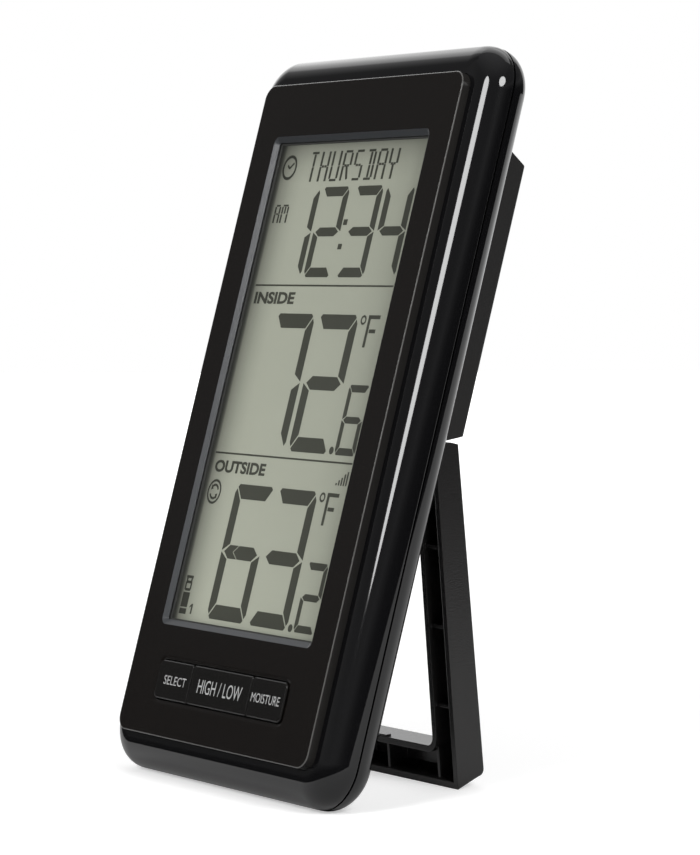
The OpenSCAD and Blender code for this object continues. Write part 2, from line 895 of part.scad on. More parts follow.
module stand_leg() {
    ribs = [for (i = [1:3]) -2.1 - rib_pitch * i];
    foot_ribs = [tab_w / 2 - 0.4, hump_w / 2 - rail_w + leg_wall / 2];
    color(matte)
        leaning()
            translate([0, hinge_y, -hinge_depth])
                rotate([leg_open, 0, 0]) {
                    difference() {
                        intersection() {
                            translate([0, 0, -leg_rear - 1])
                                linear_extrude(leg_rear + 6)
                                    leg_outline();
                            along_x(hump_w) {
                                polygon(leg_side());
                                circle(knuckle_r);
                            }
                        }
                        // channel, open to the front, with ribs left across it
                        intersection() {
                            translate([0, 0, -leg_rear])
                                linear_extrude(20)
                                    difference() {
                                        leg_channel();
                                        for (y = ribs)
                                            translate([0, y])
                                                square([hump_w, rib_t], center = true);
                                        for (side = [-1, 1], x = foot_ribs)
                                            translate([side * x, -leg_len + rail_w / 2])
                                                square([rib_t, rail_w], center = true);
                                    }
                            in_front(leg_wall + 0.2 - leg_rear, leg_wall + 0.2 - leg_rear);
                        }
                        // the ribs end below the front edge
                        intersection() {
                            linear_extrude(20)
                                leg_channel();
                            in_front(leg_front - rib_set, foot_front - rib_set);
                        }
                    }
                    // thumb tab at the front of the bottom rail
                    translate([0, -leg_len + rail_w + tab_h / 2 - 0.1, foot_front - 0.2 - tab_d / 2])
                        cube([tab_w, tab_h + 0.2, tab_d], center = true);
                    // hinge pins
                    for (side = [-1, 1])
                        translate([side * (pin_in + pin_out) / 2, 0, 0])
                            rotate([0, 90, 0])
                                cylinder(r = pin_r, h = pin_out - pin_in, center = true);
                }
}

module case_screws() {
    color(steel)
        leaning()
            for (xy = screw_xy)
                screw(xy, 2.7, 2, screw_r, screw_seat, 5.5);
}

module pcb_screws() {
    color(steel)
        leaning()
            for (xy = post_xy)
                screw(xy, 1.6, 1.2, small_screw_r, pcb_back, 3.4);
}

front_bezel();
face_panel();
lens();
display_gasket();
lcd_glass();
lcd_reflector();
lcd_frame();
zebra_strips();
main_pcb();
controller_blob();
clock_crystal();
receiver_module();
antenna();
temperature_sensor();
humidity_sensor();
tact_switches();
stem_left();
stem_middle();
stem_right();
button_left();
button_middle();
button_right();
back_shell();
battery_box();
battery_cover();
battery_upper();
battery_lower();
contact_plates();
contact_springs();
stand_leg();
case_screws();
pcb_screws();
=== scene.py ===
import math

import bmesh
import bpy
from mathutils import Matrix, Vector


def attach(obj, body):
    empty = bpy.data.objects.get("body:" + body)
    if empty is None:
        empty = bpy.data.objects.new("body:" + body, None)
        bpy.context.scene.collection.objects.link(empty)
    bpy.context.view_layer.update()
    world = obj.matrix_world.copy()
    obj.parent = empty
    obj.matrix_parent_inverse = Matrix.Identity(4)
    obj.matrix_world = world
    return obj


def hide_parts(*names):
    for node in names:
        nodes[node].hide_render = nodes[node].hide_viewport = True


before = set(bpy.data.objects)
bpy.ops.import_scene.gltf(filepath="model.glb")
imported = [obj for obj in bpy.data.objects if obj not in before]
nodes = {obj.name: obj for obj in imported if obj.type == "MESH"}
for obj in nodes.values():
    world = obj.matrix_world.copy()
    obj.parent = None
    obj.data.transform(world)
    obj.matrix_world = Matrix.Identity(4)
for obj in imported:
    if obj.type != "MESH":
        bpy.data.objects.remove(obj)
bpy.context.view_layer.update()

scene = bpy.context.scene

# Face coordinates, as in the part's source: x right, y up the face, z out of the panel, in mm
MM_PER_M = 1000
LEAN = 17.4
TILT = math.radians(LEAN)
MID_Y, FLOOR_Z = 32.1494, -9.87542
SHIFT = Vector((0, -MID_Y, -FLOOR_Z))
FACE = (Matrix.Scale(1 / MM_PER_M, 4) @ Matrix.Translation(SHIFT)
        @ Matrix.Rotation(math.radians(90 - LEAN), 4, "X"))

# Directions of the face's width, height and outside
ACROSS = Vector((1, 0, 0))
UP = Vector((0, math.sin(TILT), math.cos(TILT)))
OUT = Vector((0, -math.cos(TILT), math.sin(TILT)))

# Sizes and places of the source's pieces, in mm
PANEL_W, PANEL_H, PANEL_R = 78.0, 150.0, 3.3
PANEL_STEP, PANEL_SHIFT = 2.0, -0.1
RIM, END_RIM = 6.75, 0.75
CASE_W = PANEL_W + 2 * RIM
CASE_H = PANEL_H + 2 * RIM + 2 * END_RIM
CASE_R = PANEL_R + RIM
CASE_Y = PANEL_H / 2 - PANEL_SHIFT
WALL, LIP_DEPTH, SEAM_FRONT = 1.8, 3.6, 8.35
WINDOW_X, WINDOW_Y = 0.3, 81.15
LCD_DEPTH = 1.55
BAR_Y, BUTTON_PROUD = 12.6, 0.3


# Shader helpers

def calc(nt, operation, first, second=0.0):
    """Result of one Math node, fed with numbers or sockets."""
    step = nt.nodes.new("ShaderNodeMath")
    step.operation = operation
    for value, socket in zip((first, second), step.inputs):
        if isinstance(value, (int, float)):
            socket.default_value = value
        else:
            nt.links.new(value, socket)
    return step.outputs[0]


def dot(nt, vector, way):
    """Length of a vector along a direction."""
    step = nt.nodes.new("ShaderNodeVectorMath")
    step.operation = "DOT_PRODUCT"
    step.inputs[1].default_value = way
    nt.links.new(vector, step.inputs[0])
    return step.outputs["Value"]


def place(nt):
    """Place of the point that is shaded, in m."""
    return nt.nodes.new("ShaderNodeTexCoord").outputs["Object"]


def along(nt, way):
    """Place on the face along one of its directions, in mm."""
    return calc(nt, "SUBTRACT", dot(nt, place(nt), way * MM_PER_M), SHIFT.dot(way))


def ramp(nt, value, steps):
    """Level at a value, read off a table of values and levels."""
    first, last = steps[0][0], steps[-1][0]
    top = max(level for at, level in steps)
    span = nt.nodes.new("ShaderNodeMapRange")
    span.inputs["From Min"].default_value = first
    span.inputs["From Max"].default_value = last
    nt.links.new(value, span.inputs["Value"])
    table = nt.nodes.new("ShaderNodeValToRGB")
    marks = table.color_ramp.elements
    while len(marks) < len(steps):
        marks.new(0.5)
    for mark, (at, level) in zip(marks, steps):
        mark.position = (at - first) / (last - first)
        mark.color = (level / top, level / top, level / top, 1)
    nt.links.new(span.outputs["Result"], table.inputs["Fac"])
    return calc(nt, "MULTIPLY", table.outputs["Color"], top)


def tinted(nt, color, tints):
    """A colour that gives way to each tint in turn, by that tint's share."""
    last = None
    for share, tint in tints:
        mix = nt.nodes.new("ShaderNodeMix")
        mix.data_type = "RGBA"
        mix.inputs["A"].default_value = (*color, 1)
        mix.inputs["B"].default_value = (*tint, 1)
        nt.links.new(share, mix.inputs["Factor"])
        if last:
            nt.links.new(last, mix.inputs["A"])
        last = mix.outputs["Result"]
    return last


def blend_shaders(nt, share, first, second, surface):
    """Send a mix of two shaders to an output's socket."""
    mix = nt.nodes.new("ShaderNodeMixShader")
    for value, socket in zip((share, first.outputs[0], second.outputs[0]), mix.inputs):
        nt.links.new(value, socket)
    nt.links.new(mix.outputs[0], surface)


def shader_input(nt, name):
    return nt.nodes["Principled BSDF"].inputs[name]


def empty_material(name):
    """A material, its empty tree and the socket for its surface."""
    m = bpy.data.materials.new(name)
    m.use_nodes = True
    nt = m.node_tree
    nt.nodes.clear()
    return m, nt, nt.nodes.new("ShaderNodeOutputMaterial").inputs["Surface"]


# Materials

GRAIN_SCALE, GRAIN_DETAIL, GRAIN_DEPTH = 2600, 2, 0.00006
EDGE_SAMPLES = 6

# How the display's ground darkens towards the edges of its window: place in mm, and share of light left
SHADE_ACROSS = ((-29, 0.05), (-28, 0.07), (-27.5, 0.13), (-27, 0.25), (-26.5, 0.45), (-25, 0.6),
                (-24, 0.66), (-22, 0.8), (-20, 0.9), (-17, 0.99), (-12, 1.0), (4, 0.95), (16, 0.9),
                (24, 0.8), (29, 0.66))
SHADE_UP = ((26.2, 0.8), (27.2, 0.92), (30, 1.0), (87, 0.93), (120, 0.88), (127, 0.86), (131, 0.75),
            (134.6, 0.55), (136.2, 0.4))

# The panel's walls and slopes face outwards less than this
WALL_FACING, SLOPE_FACING = 0.3, 0.95
# Its slopes this near to the window's middle are the window's bevel, in mm
BEVEL_REACH_X, BEVEL_REACH_Y = 31.2, 57

# An end of a cell faces sideways more than this
END_FACING = 0.9


def material(name, color, roughness, specular=0.5, metallic=0.0, grain=0.0, edge=0.0):
    """A surface: grain is the strength of a fine texture, edge the radius its edges look rounded to."""
    m = bpy.data.materials.new(name)
    m.use_nodes = True
    nt = m.node_tree
    shader_input(nt, "Base Color").default_value = (*color, 1)
    shader_input(nt, "Roughness").default_value = roughness
    shader_input(nt, "Specular IOR Level").default_value = specular
    shader_input(nt, "Metallic").default_value = metallic
    normal = None
    if edge:
        bevel = nt.nodes.new("ShaderNodeBevel")
        bevel.samples = EDGE_SAMPLES
        bevel.inputs["Radius"].default_value = edge
        normal = bevel.outputs["Normal"]
    if grain:
        noise = nt.nodes.new("ShaderNodeTexNoise")
        noise.inputs["Scale"].default_value = GRAIN_SCALE
        noise.inputs["Detail"].default_value = GRAIN_DETAIL
        bump = nt.nodes.new("ShaderNodeBump")
        bump.inputs["Strength"].default_value = grain
        bump.inputs["Distance"].default_value = GRAIN_DEPTH
        nt.links.new(place(nt), noise.inputs["Vector"])
        nt.links.new(noise.outputs["Fac"], bump.inputs["Height"])
        if normal:
            nt.links.new(normal, bump.inputs["Normal"])
        normal = bump.outputs["Normal"]
    if normal:
        nt.links.new(normal, shader_input(nt, "Normal"))
    return m


def display_material(name, color):
    """Matt display layer, shaded by the frame that stands in front of it."""
    m = material(name, color, 0.5, specular=0.2)
    nt = m.node_tree
    light_across = ramp(nt, along(nt, ACROSS), SHADE_ACROSS)
    light_up = ramp(nt, along(nt, UP), SHADE_UP)
    shade = nt.nodes.new("ShaderNodeVectorMath")
    shade.operation = "SCALE"
    shade.inputs[0].default_value = color
    nt.links.new(calc(nt, "MULTIPLY", light_across, light_up), shade.inputs["Scale"])
    nt.links.new(shade.outputs["Vector"], shader_input(nt, "Base Color"))
    return m


def panel_material(name, color, painted_edge_highlight, painted_wall_light, painted_bevel_reflection):
    """Satin panel with painted highlights on its edge and window bevel, and painted light on its side
    walls.
    """
    m = material(name, color, 0.22, specular=0.3, grain=0.2, edge=0.00025)
    nt = m.node_tree
    geometry = nt.nodes.new("ShaderNodeNewGeometry")
    facing = dot(nt, geometry.outputs["True Normal"], OUT)
    wall = calc(nt, "LESS_THAN", facing, WALL_FACING)
    slope = calc(nt, "LESS_THAN", facing, SLOPE_FACING)
    bevel = slope
    for way, middle, reach in ((ACROSS, WINDOW_X, BEVEL_REACH_X), (UP, WINDOW_Y, BEVEL_REACH_Y)):
        off = calc(nt, "ABSOLUTE", calc(nt, "SUBTRACT", along(nt, way), middle))
        bevel = calc(nt, "MULTIPLY", bevel, calc(nt, "LESS_THAN", off, reach))
    # The edge's colour is a painted highlight, the walls' colour painted light, the bevel's colour a
    # painted reflection
    tints = ((slope, painted_edge_highlight), (wall, painted_wall_light), (bevel, painted_bevel_reflection))
    nt.links.new(tinted(nt, color, tints), shader_input(nt, "Base Color"))
    return m


def cell_material(name, jacket, metal):
    """Jacket with bare metal on the ends of the cell."""
    m = material(name, jacket, 0.35)
    nt = m.node_tree
    geometry = nt.nodes.new("ShaderNodeNewGeometry")
    sideways = calc(nt, "ABSOLUTE", dot(nt, geometry.outputs["True Normal"], ACROSS))
    end = calc(nt, "GREATER_THAN", sideways, END_FACING)
    nt.links.new(tinted(nt, jacket, ((end, metal),)), shader_input(nt, "Base Color"))
    nt.links.new(end, shader_input(nt, "Metallic"))
    return m


def lens_material(name, tint, roughness, ior):
    """Clear plate, of which only the outer side mirrors.

    A straight ray that leaves the plate would otherwise count as wholly reflected.
    """
    m, nt, surface = empty_material(name)
    clear = nt.nodes.new("ShaderNodeBsdfTransparent")
    clear.inputs["Color"].default_value = (*tint, 1)
    gloss = nt.nodes.new("ShaderNodeBsdfGlossy")
    gloss.inputs["Roughness"].default_value = roughness
    fresnel = nt.nodes.new("ShaderNodeFresnel")
    fresnel.inputs["IOR"].default_value = ior
    geometry = nt.nodes.new("ShaderNodeNewGeometry")
    outer = calc(nt, "SUBTRACT", 1.0, geometry.outputs["Backfacing"])
    blend_shaders(nt, calc(nt, "MULTIPLY", outer, fresnel.outputs[0]), clear, gloss, surface)
    return m


GLOSS = material("black_gloss", (0.0035, 0.0035, 0.004), 0.06)
# The panel's edge, wall and bevel colours are painted highlight, painted light and painted reflection
SATIN = panel_material("black_satin", (0.0056, 0.0043, 0.0036), painted_edge_highlight=(0.085, 0.083, 0.08),
                       painted_wall_light=(0.016, 0.015, 0.0142), painted_bevel_reflection=(0.052, 0.055, 0.059))
KEYS = material("black_keys", (0.0052, 0.0047, 0.0043), 0.25, specular=0.3, grain=0.15, edge=0.00025)
MATTE = material("grey_matte", (0.0108, 0.0102, 0.01), 0.55, specular=0.34, grain=0.4, edge=0.0004)
LEG = material("leg_matte", (0.0125, 0.012, 0.0118), 0.26, grain=0.4, edge=0.0003)
FOAM = material("foam", (0.006, 0.006, 0.006), 0.95, specular=0.1)
GASKET = material("gasket_grey", (0.06, 0.061, 0.058), 0.9, specular=0.1)
LCD = display_material("lcd_ground", (0.59, 0.603, 0.504))
INK = display_material("lcd_figures", (0.079, 0.081, 0.064))
WHITE = material("legend_white", (0.46, 0.46, 0.46), 0.55)
STEEL = material("steel", (0.42, 0.42, 0.43), 0.32, metallic=1.0)
COPPER = material("copper", (0.55, 0.22, 0.1), 0.35, metallic=1.0)
GREEN = material("board_green", (0.012, 0.075, 0.028), 0.35)
BLUE = material("board_blue", (0.012, 0.045, 0.11), 0.35)
EPOXY = material("epoxy", (0.008, 0.008, 0.008), 0.25)
CREAM = material("cream", (0.7, 0.68, 0.62), 0.5)
TAN = material("tan", (0.42, 0.33, 0.18), 0.5)
JACKET = cell_material("cell_jacket", (0.06, 0.07, 0.08), metal=(0.5, 0.5, 0.5))
FOIL = material("foil", (0.6, 0.61, 0.55), 0.5)
LENS = lens_material("lens_clear", (0.97, 0.975, 0.97), roughness=0.04, ior=1.46)

FINISH = {
    "front_bezel": GLOSS, "back_shell": GLOSS, "face_panel": SATIN, "lens": LENS, "display_gasket": GASKET,
    "lcd_glass": LCD, "lcd_reflector": FOIL, "lcd_frame": CREAM, "zebra_strips": FOAM, "main_pcb": GREEN,
    "controller_blob": EPOXY, "clock_crystal": STEEL, "receiver_module": BLUE, "antenna": COPPER,
    "temperature_sensor": EPOXY, "humidity_sensor": CREAM, "tact_switches": EPOXY, "stem_left": TAN,
    "stem_middle": TAN, "stem_right": TAN, "button_left": KEYS, "button_middle": KEYS, "button_right": KEYS,
    "battery_box": MATTE, "battery_cover": MATTE, "battery_upper": JACKET, "battery_lower": JACKET,
    "contact_plates": STEEL, "contact_springs": STEEL, "stand_leg": LEG, "case_screws": STEEL,
    "pcb_screws": STEEL}

# Edges sharper than this many degrees stay sharp
SHARP, PANEL_SHARP, RIM_SHARP = 24, 14, 30
WELD_REACH = 2e-6


def soften(obj, sharp):
    """Smooth shading with sharp edges."""
    for p in obj.data.polygons:
        p.use_smooth = True
    weld = obj.modifiers.new("weld", "WELD")
    weld.merge_threshold = WELD_REACH
    split = obj.modifiers.new("split", "EDGE_SPLIT")
    split.split_angle = math.radians(sharp)
    normals = obj.modifiers.new("normals", "WEIGHTED_NORMAL")
    normals.keep_sharp = True


for name, obj in nodes.items():
    obj.data.materials.clear()
    obj.data.materials.append(FINISH[name])
    soften(obj, PANEL_SHARP if name == "face_panel" else SHARP)


# Mesh helpers

CORNER_STEPS = 20


def new_object(name, verts, faces, mat):
    mesh = bpy.data.meshes.new(name)
    mesh.from_pydata(verts, [], faces)
    mesh.materials.append(mat)
    obj = bpy.data.objects.new(name, mesh)
    scene.collection.objects.link(obj)
    return obj


def add_mesh(name, verts, faces, mat, body):
    """A piece given in face coordinates."""
    obj = new_object(name, [FACE @ Vector(v) for v in verts], faces, mat)
    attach(obj, body)
    return obj


def loop(w, h, r, cy, depth):
    """Points round a rounded rectangle at one depth."""
    pts = []
    for sx, sy, turn in ((1, 1, 0), (-1, 1, 90), (-1, -1, 180), (1, -1, 270)):
        for i in range(CORNER_STEPS + 1):
            a = math.radians(turn + 90 * i / CORNER_STEPS)
            pts.append((sx * (w / 2 - r) + r * math.cos(a),
                        cy + sy * (h / 2 - r) + r * math.sin(a), -depth))
    return pts


def ring(name, loops, mat, body):
    """A closed ring through a round of loops."""
    n = len(loops[0])
    verts = [p for one in loops for p in one]
    faces = []
    for i in range(len(loops)):
        j = (i + 1) % len(loops)
        for k in range(n):
            m = (k + 1) % n
            faces.append((i * n + k, j * n + k, j * n + m, i * n + m))
    obj = add_mesh(name, verts, faces, mat, body)
    bm = bmesh.new()
    bm.from_mesh(obj.data)
    bmesh.ops.recalc_face_normals(bm, faces=bm.faces)
    bm.to_mesh(obj.data)
    bm.free()
    obj.data.shade_smooth()
    obj.data.set_sharp_from_angle(angle=math.radians(RIM_SHARP))
    return obj


# Bezel: the source's rim with finer steps, and its small edges rounded

PANEL_GAP = 0.1
INNER_EDGE_W, INNER_EDGE_DEPTH = 0.03, 0.05
# The rim's quarter of an ellipse: corner radii where it starts and ends, and the depth of its end
CURVE_START, CURVE_END, CURVE_DEPTH = 3.8, 10.04, 7.6
CURVE_STEPS = 48
# Rounding at the seam: distances inwards and forwards from the edge
SEAM_EDGE = ((0, 0.3), (0.02, 0.15), (0.09, 0.05), (0.24, 0))
# The hollow behind the rim: its corner radius, and the slope at its front
HOLLOW_R = CASE_R - WALL
SLOPE_W, SLOPE_DEPTH = 3, 2.6


def at_rim(r, depth):
    """Outline of the case, drawn in until its corners have a radius."""
    return loop(CASE_W - 2 * (CASE_R - r), CASE_H - 2 * (CASE_R - r), r, CASE_Y, depth)


def at_panel(grow, depth):
    """Outline of the panel, grown by a distance."""
    return loop(PANEL_W + 2 * grow, PANEL_H + 2 * grow, PANEL_R + grow, PANEL_H / 2, depth)


rim = [at_panel(PANEL_GAP, LIP_DEPTH), at_panel(PANEL_GAP, PANEL_STEP + INNER_EDGE_DEPTH),
       at_panel(PANEL_GAP + INNER_EDGE_W, PANEL_STEP)]
for i in range(CURVE_STEPS + 1):
    a = math.radians(90 - 90 * i / CURVE_STEPS)
    rim.append(at_rim(CURVE_START + (CURVE_END - CURVE_START) * math.cos(a),
                      CURVE_DEPTH - (CURVE_DEPTH - PANEL_STEP) * math.sin(a)))
rim += [at_rim(CURVE_END - inwards, SEAM_FRONT - forwards) for inwards, forwards in SEAM_EDGE]
rim += [at_rim(HOLLOW_R, SEAM_FRONT), at_rim(HOLLOW_R, LIP_DEPTH + SLOPE_DEPTH),
        at_rim(HOLLOW_R - SLOPE_W, LIP_DEPTH)]
bezel = ring("bezel_rim", rim, GLOSS, "case")
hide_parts("front_bezel")


# Display: figures printed in the cell, just in front of its glass
# A box on the display is given by its sides, left and right, and its line, low and high, in mm
# A pen is the width of upright and of level strokes

INK_T = 0.02
INK_Z = INK_T - LCD_DEPTH
ink_v, ink_f = [], []


def patch(pts):
    """One flat printed outline."""
    base = len(ink_v)
    ink_v.extend((x, y, INK_Z) for x, y in pts)
    ink_f.append(tuple(range(base, base + len(pts))))


def band(path, width, closed=False):
    """A line of even width through points."""
    n = len(path)
    pairs = n if closed else n - 1
    for i in range(pairs):
        a, b = Vector(path[i]), Vector(path[(i + 1) % n])
        d = (b - a).normalized()
        side = Vector((-d.y, d.x)) * width / 2
        patch([a - side, b - side, b + side, a + side])


def polar(x, y, r, angle):
    """The point of a circle at an angle."""
    return x + r * math.cos(angle), y + r * math.sin(angle)


def circle(x, y, r, start=0, end=360, steps=40):
    """Points on a circle, or on its arc between two places in degrees."""
    return [polar(x, y, r, math.radians(start + (end - start) * i / steps)) for i in range(steps + 1)]


def rect(sides, line):
    """A filled box."""
    (x0, x1), (y0, y1) = sides, line
    patch([(x0, y0), (x1, y0), (x1, y1), (x0, y1)])


# The lit segments of each figure: a to f go round from the top, g is the middle one,
# and v the part of it that lies to the left of an arrow's gap
FIGURES = {"1": "bc", "2": "abged", "3": "abgcd", "4": "fgbc", "6": "afgedc", "7": "abc", "<": "afgvedc"}
# Corners of the top and bottom segments, of the side ones and of the middle one,
# as shares of the pen's widths
END_SHOULDER, END_DROP, END_TIP, END_INNER = 0.28, 0.2, 0.5, 1.02
SIDE_SHOULDER, SIDE_DROP, SIDE_TIP, SIDE_INNER = 0.22, 0.31, 0.6, 1.15
SIDE_FOOT, SIDE_INNER_FOOT = 0.04, 0.53
MIDDLE_HALF, MIDDLE_TIP, MIDDLE_INNER = 0.465, 0.38, 1.08
# The arrow's tip and depth as shares of the upright stroke, and half of the gap in mm
ARROW_TIP, ARROW_DEPTH, ARROW_GAP = 1.68, 0.72, 0.14


def number(figure, sides, line, pen):
    """One seven-segment figure."""
    (x0, x1), (y0, y1), (tv, th) = sides, line, pen
    ym = (y0 + y1) / 2
    lit = FIGURES[figure]
    parts = {}
    for name, y, way in (("a", y1, -1), ("d", y0, 1)):
        shoulder, inner = y + way * END_DROP * th, y + way * th
        parts[name] = [(x0 + END_SHOULDER * tv, shoulder), (x0 + END_TIP * tv, y), (x1 - END_TIP * tv, y),
                       (x1 - END_SHOULDER * tv, shoulder), (x1 - END_INNER * tv, inner),
                       (x0 + END_INNER * tv, inner)]
    for name, x, across, y, way in (("b", x1, -1, y1, -1), ("c", x1, -1, y0, 1), ("e", x0, 1, y0, 1),
                                    ("f", x0, 1, y1, -1)):
        inner = x + across * tv
        parts[name] = [(x + across * SIDE_SHOULDER * tv, y + way * SIDE_DROP * th),
                       (x, y + way * SIDE_TIP * th), (x, ym - way * SIDE_FOOT * th),
                       (inner, ym - way * SIDE_INNER_FOOT * th), (inner, y + way * SIDE_INNER * th)]
    half, tip, inset = MIDDLE_HALF * th, MIDDLE_TIP * tv, MIDDLE_INNER * tv

    def middle(left_tip, left, right, right_tip):
        return [(left_tip, ym), (left, ym + half), (right, ym + half), (right_tip, ym), (right, ym - half),
                (left, ym - half)]

    parts["g"] = middle(x0 + tip, x0 + inset, x1 - inset, x1 - tip)
    if "v" in lit:
        arrow = x0 + ARROW_TIP * tv
        tail = arrow + ARROW_DEPTH * tv
        parts["g"] = middle(arrow + ARROW_GAP, tail + ARROW_GAP, x1 - inset, x1 - tip)
        parts["v"] = middle(x0 + tip, x0 + inset, tail - ARROW_GAP, arrow - ARROW_GAP)
    for s in lit:
        patch(parts[s])


# Strokes of a letter end this far before its joints
STROKE_GAP = 0.07


def letter(strokes, sides, line, pen):
    """One letter of straight strokes.

    a to f lie as on a figure, p and q are the middle's halves, i and l the upright's, and m is a leg.
    """
    (x0, x1), (y0, y1), (tv, th) = sides, line, pen
    xm, ym = (x0 + x1) / 2, (y0 + y1) / 2
    left, right = x0 + tv / 2, x1 - tv / 2
    head, foot = y1 - th / 2, y0 + th / 2
    top = y1 - th if "a" in strokes else y1
    low = y0 + th if "d" in strokes else y0
    ends = {"a": ((left, head), (right, head)), "d": ((left, foot), (right, foot)),
            "b": ((right, ym), (right, top)), "c": ((right, low), (right, ym)),
            "e": ((left, low), (left, ym)), "f": ((left, ym), (left, top)),
            "p": ((x0 + tv, ym), (xm, ym)), "q": ((xm, ym), (x1 - tv, ym)),
            "i": ((xm, ym), (xm, top)), "l": ((xm, low), (xm, ym)), "m": ((x1 - tv, foot), (xm, ym))}
    for s in strokes:
        (ax, ay), (bx, by) = ends[s]
        short = STROKE_GAP / math.hypot(bx - ax, by - ay)
        dx, dy = (bx - ax) * short, (by - ay) * short
        band([(ax + dx, ay + dy), (bx - dx, by - dy)], th if s in "adpq" else tv)


# Clock sign: a ring and two hands
CLOCK_X, CLOCK_Y, CLOCK_R = -23.9, 130.67, 2.58
CLOCK_PEN, HAND_PEN = 0.68, 0.52
HANDS = ((-0.9, 0.58), (0, -0.22), (1.6, 1.03))
band(circle(CLOCK_X, CLOCK_Y, CLOCK_R), CLOCK_PEN)
band([(CLOCK_X + dx, CLOCK_Y + dy) for dx, dy in HANDS], HAND_PEN)

# Weekday and half of the day, as the strokes of their letters
DAY = ("ail", "bcefpq", "bcdef", "abefpqm", "acdfpq", "abcdil", "abcefpq", "bfpql")
DAY_X, DAY_PITCH, DAY_W = -16.0, 4.53, 3.6
DAY_LINE, DAY_PEN = (127.1, 134.1), (0.8, 0.55)
HALF_DAY_LINE, HALF_DAY_PEN = (117.7, 122.0), (0.66, 0.42)
for i, strokes in enumerate(DAY):
    x = DAY_X + i * DAY_PITCH
    letter(strokes, (x, x + DAY_W), DAY_LINE, DAY_PEN)
for strokes, sides in (("abcefpq", (-25.95, -23.55)), ("abcefi", (-23.1, -20.2))):
    letter(strokes, sides, HALF_DAY_LINE, HALF_DAY_PEN)

# Hour and minute, with the two dots between them
HOUR_LINE, HOUR_PEN = (105.2, 125.8), (2.12, 2.2)
COLON_SIDES = (3.33, 4.9)
for figure, sides in (("1", (-19.6, -8.83)), ("2", (-7.83, 2.9)), ("3", (5.35, 16.1)),
                      ("4", (17.4, 28.05))):
    number(figure, sides, HOUR_LINE, HOUR_PEN)
for line in ((117.0, 118.3), (111.5, 112.75)):
    rect(COLON_SIDES, line)

# Temperatures: two large figures, a point, a small figure and the unit, with rules above them
LARGE_PEN, SMALL_PEN = (2.83, 3.3), (1.4, 1.62)
UNITS, TENTHS = (2.4, 18.1), (20.6, 28.4)
POINT_X, POINT_R = 19.33, 0.85
RULE_RIGHT, RULE_T = 28.4, 0.4
# The unit: a degree ring and an F, measured from the top left corner of its box
UNIT_X = 19.0
DEGREE_AT, DEGREE_R, DEGREE_PEN = 1.1, 0.85, 0.5
F_LEFT, F_RIGHT, F_HEIGHT = 2.85, 3.8, 7.1
ARM_END, ARM_T = 7.3, 0.85
LOW_ARM_START, LOW_ARM_END, LOW_ARM_TOP = 4.05, 6.5, 3.1


def unit(x, y):
    """Degree ring and F."""
    band(circle(x + DEGREE_AT, y - DEGREE_AT, DEGREE_R), DEGREE_PEN)
    rect((x + F_LEFT, x + F_RIGHT), (y - F_HEIGHT, y))
    rect((x + F_RIGHT, x + ARM_END), (y - ARM_T, y))
    rect((x + LOW_ARM_START, x + LOW_ARM_END), (y - LOW_ARM_TOP - ARM_T, y - LOW_ARM_TOP))


def temperature(figures, tens, line, small_line, point_y):
    """Three figures, a point and the unit; the small figure and the point have places of their own."""
    for figure, sides in zip(figures, (tens, UNITS)):
        number(figure, sides, line, LARGE_PEN)
    patch(circle(POINT_X, point_y, POINT_R)[:-1])
    number(figures[2], TENTHS, small_line, SMALL_PEN)
    unit(UNIT_X, line[1])


def rule(left, y):
    rect((left, RULE_RIGHT), (y, y + RULE_T))


rule(-26.6, 103.1)
temperature("726", (-14.85, 0.9), (66.2, 96.9), (66.2, 81.6), 67.1)
rule(-26.8, 64.4)
temperature("<32", (-14.8, 1.0), (27.6, 58.0), (27.7, 42.9), 28.4)

# Bars of the radio's strength
BARS_X, BARS_Y, BAR_PITCH, BAR_W = 23.8, 59.75, 0.93, 0.55
for i, top in enumerate((60.25, 60.9, 61.5, 62.25, 62.8)):
    x = BARS_X + i * BAR_PITCH
    rect((x, x + BAR_W), (BARS_Y, top))

# Radio sign: a ring with two bent arrows; a head's corners are radii, and angles in radians from its place
RADIO_X, RADIO_Y, RADIO_R = -23.67, 55.7, 2.57
RADIO_PEN, ARROW_R, ARROW_SPAN, ARROW_STEPS = 0.55, 1.55, 115, 14
HEAD_AT, HEAD = 130, ((0.85, -0.35), (2.15, -0.35), (ARROW_R, 0.3))
band(circle(RADIO_X, RADIO_Y, RADIO_R), RADIO_PEN)
for turn in (20, 200):
    band(circle(RADIO_X, RADIO_Y, ARROW_R, turn, turn + ARROW_SPAN, ARROW_STEPS), RADIO_PEN)
    a = math.radians(turn + HEAD_AT)
    patch([polar(RADIO_X, RADIO_Y, r, a + da) for r, da in HEAD])

# Sender sign, from its foot to its cap, and the figure 1 of its channel
SENDER = (-26.6, -23.75)
SCREEN_LEFT, SCREEN_RIGHT, SCREEN_LOW, SCREEN_TOP = -26.25, -24.1, 33.2, 34.9
SCREEN_PEN = 0.6
CAP_LOW, CAP_TOP = 35.8, 36.4
CHANNEL_LEFT, CHANNEL_RIGHT, CHANNEL_LOW, CHANNEL_TOP = -21.95, -21.35, 27.9, 30.2
FLAG_LEFT, FLAG_LOW, FLAG_TOP, FLAG_ROOT = -22.65, 29.25, 29.65, 29.6
for line in ((27.7, 28.95), (29.25, 32.6)):
    rect(SENDER, line)
band([(SCREEN_LEFT, SCREEN_LOW), (SCREEN_RIGHT, SCREEN_LOW), (SCREEN_RIGHT, SCREEN_TOP),
      (SCREEN_LEFT, SCREEN_TOP)], SCREEN_PEN, closed=True)
for sides in ((-26.4, -25.8), (-24.55, -23.95)):
    rect(sides, (SCREEN_TOP, CAP_LOW))
rect(SENDER, (CAP_LOW, CAP_TOP))
rect((CHANNEL_LEFT, CHANNEL_RIGHT), (CHANNEL_LOW, CHANNEL_TOP))
